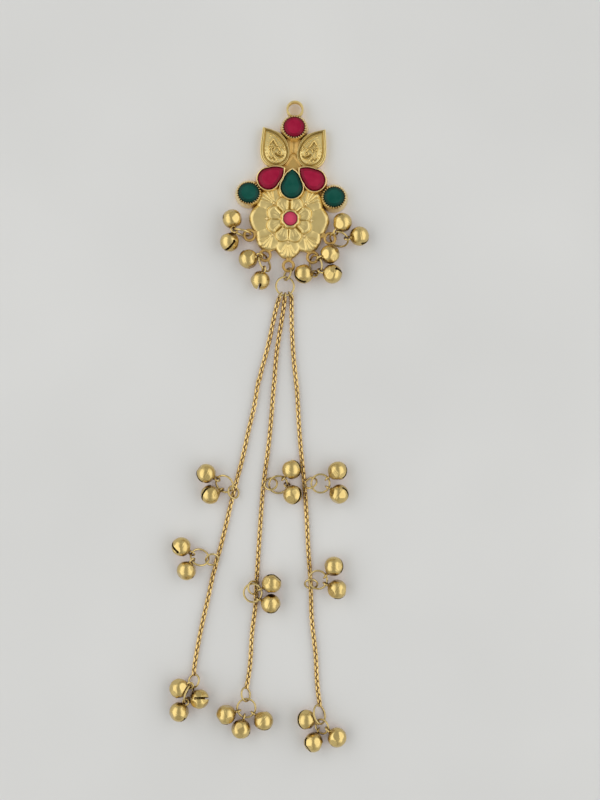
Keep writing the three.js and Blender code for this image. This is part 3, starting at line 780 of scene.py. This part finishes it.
NECK_WIDTHS = [  # y, half width
    (26.0, 1.9), (22.5, 2.2), (20.5, 2.2), (18.5, 2.2), (16.5, 2.5), (15.4, 3.3),
    (14.6, 5.6), (13.0, 6.3), (10.0, 6.4), (8.0, 9.4), (6.2, 10.2), (4.0, 6.0), (2.5, 4.0),
]
NECK_LEVELS = 190
NECK_COLUMNS = 61
NECK_Z = 1.4
NECK_RIBS_FROM = 14.5  # y, above the drops
NECK_STROKES = [  # line, half width, height
    ([(0.1, 22.9), (0.15, 19.2)], 0.9, -0.35),
    ([(-1.9, 22.6), (-1.7, 21), (-1.5, 19.6), (-1.7, 18.2), (-2.4, 16.6)], 1.2, 0.2),
    ([(1.95, 22.6), (1.8, 21), (1.6, 19.6), (1.8, 18.2), (2.5, 16.6)], 1.2, 0.2),
    ([(0.0, 18.3), (-0.95, 17.1), (-2.0, 15.5)], 0.5, 0.3),
    ([(0.25, 18.3), (1.3, 17.0), (2.4, 15.5)], 0.5, 0.3),
]


def neck():
    """The web from the top bezel down under the leaves and drops, with ribs that part above the drops."""
    ys, widths = np.array(NECK_WIDTHS).T
    level = np.linspace(ys[0], ys[-1], NECK_LEVELS)
    half = averaged(np.interp(-level, -ys, widths), 8)
    across = np.linspace(-1, 1, NECK_COLUMNS)
    rings = []
    for y, w in zip(level, half):
        flat = np.column_stack([across * w, np.full(NECK_COLUMNS, y)])
        height = NECK_Z - 0.25 * np.abs(across) ** 12
        if y > NECK_RIBS_FROM:
            height = height + with_strokes(flat, NECK_STROKES)
        rings.append(np.vstack([at_height(flat, height), at_height(flat[::-1], 0.0)]))
    return loft(rings)


def round_bezel(place):
    """A cup with a milled rim that leans over the stone; its mouth is a little wider than it is tall."""
    turn = full_turn(TEETH * TOOTH_STEPS)
    tooth = np.clip(np.cos(TEETH * turn) * 0.7 + 0.5, 0, 1)
    rows = [  # radius, height, how much a tooth adds to each
        (3.7, 0.0, 0.0, 0.0),
        (3.92, 0.12, 0.0, 0.0),
        (3.94, 0.55, 0.0, 0.0),
        (3.82, 1.0, 0.0, 0.0),
        (3.68, 1.6, 0.0, 0.0),
        (3.55, 2.2, 0.0, 0.0),
        (3.44, 2.6, 0.08, 0.0),
        (3.33, 2.8, 0.26, 0.12),
        (3.25, 2.94, 0.2, 0.46),
        (3.15, 3.0, 0.04, 0.66),
        (3.07, 2.96, -0.14, 0.68),
        (3.03, 2.88, -0.28, 0.5),
        (2.99, 2.85, -0.05, 0.1),
        (2.98, SEAT_Z, 0.0, 0.0),
    ]
    rings = []
    for r, z, out, up in rows:
        radius = r + out * tooth
        tall = 1 - (1 - MOUTH_TALL) * smooth(1, 2.6, z)
        if r < STONE_R + 0.04:
            tall = MOUTH_TALL
        flat = np.column_stack([radius * np.cos(turn), tall * radius * np.sin(turn)])
        rings.append(at_height(flat, z + up * tooth))
    return moved(loft(rings), place)


def tear_bezel(place, radius, length):
    """A thin smooth wall round a teardrop stone."""
    rows = [  # growth over the stone's outline, height
        (0.55, 0.0),
        (0.72, 0.15),
        (0.68, 0.8),
        (0.56, 1.1),
        (0.5, 2.6),
        (0.46, 3.3),
        (0.36, 3.52),
        (0.22, 3.56),
        (0.1, 3.46),
        (0.06, 3.25),
        (0.06, SEAT_Z),
    ]
    rings = []
    for grow, z in rows:
        rings.append(at_height(tear_outline(radius + grow, length + 1.3 * grow, 70, 40), z))
    return moved(loft(rings), place)


def collar():
    """The lobed rim that holds the centre stone: one small lobe for each petal."""
    profile = [(0.001, 3.1), (1.98, 3.1), (1.96, 3.85), (2.02, 4.02), (2.16, 4.06), (2.32, 3.94)]
    profile += [(2.44, 3.66), (2.55, 3.3), (2.7, 2.6), (0.001, 2.6)]
    points, faces = lathe(profile, 192)
    lobes = petal_swell(np.arctan2(points[:, 1], points[:, 0]), half=True)
    outside = smooth(2.1, 2.5, np.hypot(points[:, 0], points[:, 1]))
    swell = 1 + COLLAR_LOBE * lobes * outside
    return moved((points * np.column_stack([swell, swell, np.ones(len(points))]), faces), PLATE)


def hanging_ring():
    """A short open tube that stands on the plate's plane."""
    outer, inner, low, high = (HANGER[k] for k in ("outer", "inner", "low", "high"))
    profile = [  # radius, height
        (outer - 0.1, low),
        (outer, low + 0.1),
        (outer, high - 0.15),
        (outer - 0.06, high - 0.04),
        ((outer + inner) / 2, high),
        (inner + 0.06, high - 0.04),
        (inner, high - 0.15),
        (inner, low + 0.1),
        (inner + 0.1, low),
    ]
    turn = full_turn(80)
    rings = [at_height(around(r, turn), z) for r, z in profile]
    return moved(loft(rings, looped=True), placed(0, HANGER["y"]))


def eyelet(angle, reach):
    """A cast hoop off the flower's edge, and the stem that joins them."""
    turn = Matrix.Rotation(math.radians(angle), 4, "Z")
    place = PLATE @ np.array(turn @ Matrix.Translation((reach, 0, EYELET["z"])))
    radius, wire = EYELET["r"], EYELET["wire"]
    start, end = -EYELET["stem"], -radius + 0.1
    section = full_turn(18)
    rings = []
    for share in np.linspace(0, 1, 8):
        x = np.full(18, start + share * (end - start))
        half = EYELET["stem_half"] - EYELET["taper"] * smooth(0.2, 1, share)
        rings.append(np.column_stack([x, half * np.cos(section), wire * np.sin(section)]))
    return merged([wire_ring(radius, wire, place, major=56), moved(loft(rings), place)])


# ---- Stones ----


def stone(outline_at, seat, girdle, top, table, centre_y=0.0):
    """A stone from its outline: straight girdle, two rows of crown facets and a flat table."""
    rows = [(1, 0, seat), (1, 0, girdle), (0.9, 0.5, girdle + 0.45 * (top - girdle)), (table, 0, top)]
    rings = []
    for size, half_step, z in rows:
        rings.append(at_height(outline_at(half_step) * size + [0, centre_y * (1 - size)], z))
    return facets(rings)


def facets(rings):
    """Triangles between rings whose corners are staggered, as on a cut crown, with a flat top and back."""
    points = np.vstack(rings)
    count = len(rings[0])
    faces = [list(range(count))[::-1], [3 * count + i for i in range(count)]]
    for i in range(count):
        j = (i + 1) % count
        faces.append([i, j, count + j, count + i])
        faces.append([count + i, count + j, 2 * count + i])
        faces.append([2 * count + i, count + j, 2 * count + j])
        faces.append([2 * count + i, 2 * count + j, 3 * count + j])
        faces.append([2 * count + i, 3 * count + j, 3 * count + i])
    return points, faces


def round_corners(radius):
    """A circle's corners, or half a step on the points between them."""

    def at(half_step):
        return around(radius, 2 * math.pi * (np.arange(ROUND_CORNERS) + half_step) / ROUND_CORNERS)

    return at


def tear_corners(radius, length):
    """The same for a teardrop, evenly spaced along its outline from its point."""
    fine = tear_outline(radius, length, 120, 120)
    fine = np.roll(fine, -120, axis=0)
    closed = np.vstack([fine, fine[:1]])
    run = way_along(closed)

    def at(half_step):
        return at_way(closed, run, run[-1] * ((np.arange(TEAR_CORNERS) + half_step) / TEAR_CORNERS))

    return at


# ---- Bells ----


def bell_profile(radius, rows_of_points):
    """A bell's outside from its crown down: two pressed halves that meet in a fine seam."""
    rows = []
    for a in np.linspace(math.pi / 2, -math.pi / 2, rows_of_points):
        height = radius * math.sin(a)
        seam = 0.03 * hump(height, 0.09) - 0.02 * hump(abs(height) - 0.22, 0.12)
        rows.append(((radius - seam) * math.cos(a), height))
    return rows


def dented(part, flats, wall):
    """A bell's surface pressed flat in places; wall is how far it lies inside the outer one."""
    points, faces = part
    reach = np.linalg.norm(points, axis=1)
    away = points / reach[:, None]
    pressed = 0
    for way, share in flats:
        flat_reach = (share * BELL_R - wall) / np.maximum(away @ way, 0.05)
        pressed = pressed + np.exp(-DENT_CRISPNESS * (flat_reach - BELL_R + wall))
    reach = reach - np.log1p(pressed) / DENT_CRISPNESS
    return away * reach[:, None], faces


def bell_master(name, seed):
    """A hollow bell at 0, 0, 0 with its eye's side up and its slit along x, with a few flattened places."""
    rng = np.random.default_rng(seed)
    flats = [(unit(rng.normal(size=3)), rng.uniform(*DENT_REACH)) for _ in range(DENTS)]
    outside, faces = dented(lathe(bell_profile(BELL_R, 61), 84), flats, 0)
    near = np.abs(outside[:, 1]) - SLIT / 2
    lip = 0.05 * hump(near, 0.16) * (outside[:, 2] < -BELL_R + SLIT_DEPTH)
    outside = outside * (1 + lip / BELL_R)[:, None]
    inside, inner_faces = dented(lathe(bell_profile(BELL_R - BELL_SHELL, 29), 36), flats, BELL_SHELL)
    inner_faces = [cell[::-1] for cell in inner_faces]
    shell = mesh_object(name, *merged([(outside, faces), (inside, inner_faces)]))
    cutters = [mesh_object(name + "_slit", *slit_cutter()), mesh_object(name + "_hole", *hole_cutter())]
    for cutter in cutters:
        cut = shell.modifiers.new(cutter.name, "BOOLEAN")
        cut.operation = "DIFFERENCE"
        cut.solver = "EXACT"
        cut.object = cutter
    bpy.context.view_layer.update()
    mesh = shell.evaluated_get(bpy.context.evaluated_depsgraph_get()).to_mesh()
    points = mesh_points(mesh)
    cells = [list(p.vertices) for p in mesh.polygons]
    for spare in (shell, *cutters):
        bpy.data.objects.remove(spare)
    if not cells:
        raise ValueError(name + " came out empty")
    return points, cells


def slit_cutter():
    """A long slot across the mouth."""
    low, high = -BELL_R - 0.4, -BELL_R + SLIT_DEPTH
    end = math.sqrt(BELL_R**2 - (BELL_R - SLIT_DEPTH) ** 2)
    outline = []
    for angle in np.linspace(-90, 90, 13):
        bend = math.radians(angle)
        outline.append((end + 0.9 + 0.5 * math.cos(bend), SLIT / 2 * math.sin(bend)))
    outline = np.array(outline + [(-x, -y) for x, y in outline])
    return loft([at_height(outline, low), at_height(outline, high)])


def hole_cutter():
    """A round bar through both ends of the slot, where the real slot ends in two round holes."""
    turn = full_turn(24)
    level = -BELL_R + SLIT_DEPTH
    across, up = SLIT_HOLE_R * np.cos(turn), level + SLIT_HOLE_R * np.sin(turn)
    return loft([np.column_stack([np.full(24, x), across, up]) for x in (-BELL_R - 0.5, BELL_R + 0.5)])


BELL_SEEDS = {"first": 3, "second": 11, "third": 29, "fourth": 31, "fifth": 47}


def bell(node, masters, number):
    """A hollow bell, its wire eye and the small foot that holds the eye."""
    place, eye_normal, eye_centre = fitted_bell(node)
    body = moved(masters[number % len(masters)], place)
    axis = place[:3, 2]
    eye = wire_ring(LOOP_R, LOOP_WIRE_R, facing(eye_normal, eye_centre), major=40, minor=12)
    foot = lathe([(0.0, 0.16), (0.36, 0.15), (0.52, 0.08), (0.66, -0.06), (0.66, -0.3), (0.0, -0.3)], 32)
    seat = eye_centre - axis * (LOOP_REACH - BELL_R + 0.02)
    return merged([body, eye, moved(foot, facing(axis, seat))])


# ---- Chains ----


def rounded_rectangle(half_length, half_width, corner):
    """Points of a rectangle with round corners, four to a corner, and the way out at each."""
    points, out = [], []
    for x, y, start in ((1, 1, 0), (-1, 1, 90), (-1, -1, 180), (1, -1, 270)):
        for i in range(4):
            angle = math.radians(start + 90 * i / 3)
            way = np.array([math.cos(angle), math.sin(angle)])
            points.append(np.array([x * (half_length - corner), y * (half_width - corner)]) + corner * way)
            out.append(way)
    return np.array(points), np.array(out)


def link_rings():
    """One link about 0, 0, 0: a flat band bent round in the xy plane, its length along x."""
    thick, band = LINK["thick"] / 2, LINK["band"] / 2
    path, out = rounded_rectangle(LINK["length"] / 2 - thick, LINK["width"] / 2 - thick, LINK["corner"])
    section = [(1, 0.75), (0.7, 1), (-0.7, 1), (-1, 0.75), (-1, -0.75), (-0.7, -1), (0.7, -1), (1, -0.75)]
    rings = [[(*(p + o * thick * s), band * w) for s, w in section] for p, o in zip(path, out)]
    return loft(rings, looped=True)


def chain_links(course, seed):
    """Box links along a course, each a quarter turn from the last, with a little slack in their roll."""
    rng = np.random.default_rng(seed)
    run = way_along(course)
    count = int(round(run[-1] / LINK["pitch"]))
    link = link_rings()
    parts = []
    for i in range(count):
        where = (i + 0.5) * run[-1] / count
        behind, centre, ahead = at_way(course, run, where + np.array([-0.8, 0, 0.8]))
        along = unit(ahead - behind)
        side = unit(np.cross([0, 0, 1], along))
        up = np.cross(along, side)
        roll = math.radians(45 + 90 * i + 9 * math.sin(0.21 * i + seed) + rng.uniform(-5, 5))
        first = math.cos(roll) * side + math.sin(roll) * up
        parts.append(moved(link, basis(along, first, np.cross(along, first), centre)))
    points, faces = merged(parts)
    points[:, 2] = np.maximum(points[:, 2], 0.01)
    return points, faces


def small_rings(points, course):
    """The rings fused to a packed chain, from the points that lie off its course."""
    level = np.interp(-points[:, 1], -course[:, 1], course[:, 0])
    inside = (points[:, 1] <= course[0, 1]) & (points[:, 1] >= course[-1, 1])
    away = np.hypot(points[:, 0] - level, points[:, 2] - CHAIN_Z)
    off = points[(away > CHAIN_RING_FROM) | ~inside]
    off = off[np.argsort(-off[:, 1])]
    breaks = np.where(np.diff(-off[:, 1]) > CHAIN_RINGS_APART)[0] + 1
    return [np.unique(np.round(group, 4), axis=0) for group in np.split(off, breaks)]


# ---- Building ----


def build_plate():
    place = placed(*FLOWER_AT)
    piece("flower_relief", moved(flower(), place), GOLD["plate"], ["plate"])
    piece("flower_buds", moved(buds(), place), GOLD["rim"])
    piece("centre_collar", collar(), GOLD["plate"])
    piece("neck_web", moved(neck(), PLATE), GOLD["neck"])
    for row in LEAVES:
        made = leaf(placed(row["x"], row["y"], row["point"]), row["side"])
        piece(row["name"], made, GOLD["leaf"])
    for row in ROUND_BEZELS:
        place = placed(row["x"], row["y"])
        piece("bezel_" + row["name"], round_bezel(place), GOLD["rim"])
        points, faces = stone(round_corners(STONE_R), **STONE)
        cut = (points * [1, MOUTH_TALL, 1], faces)
        set_stone("stone_" + row["name"], moved(cut, place), row["stone"])
    for row in TEAR_BEZELS:
        place = placed(row["x"], row["y"], row["point"])
        radius, length = row["radius"], row["length"]
        piece("bezel_" + row["name"], tear_bezel(place, radius, length), GOLD["wall"])
        cut = stone(tear_corners(radius, length), **STONE, centre_y=0.8)
        set_stone("stone_" + row["name"], moved(cut, place), row["stone"])
    set_stone("stone_centre", moved(stone(round_corners(CENTRE_R), **CENTRE_STONE), PLATE), "pink")
    piece("hanging_ring", hanging_ring(), GOLD["leaf"])
    for number, (angle, reach) in enumerate(EYELETS, 1):
        piece(f"eyelet_{number}", eyelet(angle, reach), GOLD["neck"])


def set_stone(node, part, colour):
    look, slot = STONES[colour]
    piece(node + "_cut", part, look, [node], sharp=4)


def jump_ring(points, turn):
    """A wire ring where a packed ring's points lie; turn moves its opening."""
    centre, normal, radius = fitted_circle(points)
    place = facing(normal, centre) @ np.array(Matrix.Rotation(turn, 4, "Z"))
    return wire_ring(radius, WIRE_R, place, gap=RING_GAP)


def build_rings():
    names = sorted(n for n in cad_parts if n.startswith("ring_") or n == "link_centre")
    for number, node in enumerate(names):
        made = jump_ring(node_points(node), 1.3 * number)
        piece(node + "_wire", made, GOLD["wire"], [node])


def build_bells():
    masters = [bell_master(name, seed) for name, seed in BELL_SEEDS.items()]
    names = sorted(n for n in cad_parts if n.startswith("bell_"))
    for number, node in enumerate(names):
        piece(node + "_shell", bell(node, masters, number), GOLD["bell"], [node])


def build_chains():
    for seed, node in enumerate(("chain_left", "chain_middle", "chain_right"), 1):
        stations, points = chain_course(node)
        rings = small_rings(points, stations)
        eye, others = rings[0], rings[1:]
        eye_centre, eye_normal, _ = fitted_circle(eye)
        xs = averaged(stations[:, 0], 2)
        xs[:2], xs[-2:] = stations[:2, 0], stations[-2:, 0]
        course = np.column_stack([xs, stations[:, 1], np.full(len(xs), CHAIN_Z)])
        top = eye_centre + CHAIN_EYE["grip"] * unit(course[0] - eye_centre)
        end_centre, _, end_radius = fitted_circle(others[-1])
        end = end_centre + (end_radius - 0.1) * unit(course[-1] - end_centre)
        course = np.vstack([top, course, end])
        piece(node + "_links", chain_links(course, seed), GOLD["chain"], [node])
        place = facing(eye_normal, eye_centre)
        parts = [wire_ring(CHAIN_EYE["r"], CHAIN_EYE["wire"], place, major=36, minor=10)]
        parts += [jump_ring(group, 2.1 * number + seed) for number, group in enumerate(others)]
        piece(node + "_rings", merged(parts), GOLD["wire"])


# ---- Stage ----

FLOOR_HALF = 1.2  # metres
WORLD_STRENGTH = 1.17
LIGHTS = [  # places and sizes in metres, power in watts
    {"name": "left_softbox", "place": (-0.52, 0.03, 0.42), "size": (1.5, 0.62), "power": 2.3},
    {"name": "right_softbox", "place": (0.52, 0.03, 0.42), "size": (1.5, 0.62), "power": 2.1},
]
VIEW_CENTRE = (8.6, 7.2)
VIEW_DISTANCE = 350.0
VIEW_HEIGHT = 222.2  # of the frame, at the earring's middle level
VIEW_LEVEL = 4.0


def build_floor():
    made, nodes, links, shader = material("pale_table")
    cloud = mapped(nodes, links, noise(nodes, links, 14, 2), 0, 1)
    tint = mixed(nodes, links, cloud, (0.66, 0.66, 0.65), (0.7, 0.7, 0.69))
    # Painted light: where the AO node finds the earring within 7 mm, the table turns a lighter warm pink, a
    # painted bounce of light off the gilding.
    shut = nodes.new("ShaderNodeAmbientOcclusion")
    shut.samples = 4
    put(shut, {"Distance": 7 * MM})
    painted_bounce = mapped(nodes, links, shut.outputs["AO"], 0, 1)
    links.new(mixed(nodes, links, painted_bounce, (0.98, 0.86, 0.82), tint), shader.inputs["Base Color"])
    put(shader, {"Roughness": 0.85})
    corners = FLOOR_HALF * np.array([(-1, -1, 0), (1, -1, 0), (1, 1, 0), (-1, 1, 0)])
    floor = mesh_object("floor", corners, [(0, 1, 2, 3)])
    floor.data.materials.append(made)


def softbox(name, place, size, power):
    """A broad white light that looks at the frame's middle."""
    data = bpy.data.lights.new(name, "AREA")
    data.shape = "RECTANGLE"
    data.size, data.size_y = size
    data.energy = power
    lamp = added(name, data)
    lamp.location = place
    lamp.rotation_euler = (-Vector(place)).to_track_quat("-Z", "Y").to_euler()


def build_world():
    """Soft white surroundings, brightest at both sides."""
    world = bpy.data.worlds.new("studio")
    bpy.context.scene.world = world
    world.use_nodes = True
    nodes, links = world.node_tree.nodes, world.node_tree.links
    place = nodes.new("ShaderNodeTexCoord")
    parts = nodes.new("ShaderNodeSeparateXYZ")
    sideways = nodes.new("ShaderNodeMath")
    sideways.operation = "ABSOLUTE"
    ramp = nodes.new("ShaderNodeValToRGB")
    stops = [(0.1, (0.4, 0.4, 0.39, 1)), (0.9, (0.72, 0.72, 0.71, 1))]
    for element, (position, colour) in zip(ramp.color_ramp.elements, stops):
        element.position = position
        element.color = colour
    links.new(place.outputs["Generated"], parts.inputs["Vector"])
    links.new(parts.outputs["X"], sideways.inputs[0])
    links.new(sideways.outputs["Value"], ramp.inputs["Fac"])
    links.new(ramp.outputs["Color"], nodes["Background"].inputs["Color"])
    put(nodes["Background"], {"Strength": WORLD_STRENGTH})


def build_camera():
    data = bpy.data.cameras.new("camera")
    data.sensor_width = 36
    data.lens = data.sensor_width * VIEW_DISTANCE / VIEW_HEIGHT
    data.clip_start, data.clip_end = 0.01, 10
    camera = added("camera", data)
    camera.location = Vector((*VIEW_CENTRE, VIEW_DISTANCE + VIEW_LEVEL)) * MM
    bpy.context.scene.camera = camera


build_plate()
build_rings()
build_bells()
build_chains()
build_floor()
build_world()
for row in LIGHTS:
    softbox(**row)
build_camera()
bpy.context.scene.view_settings.view_transform = "Standard"
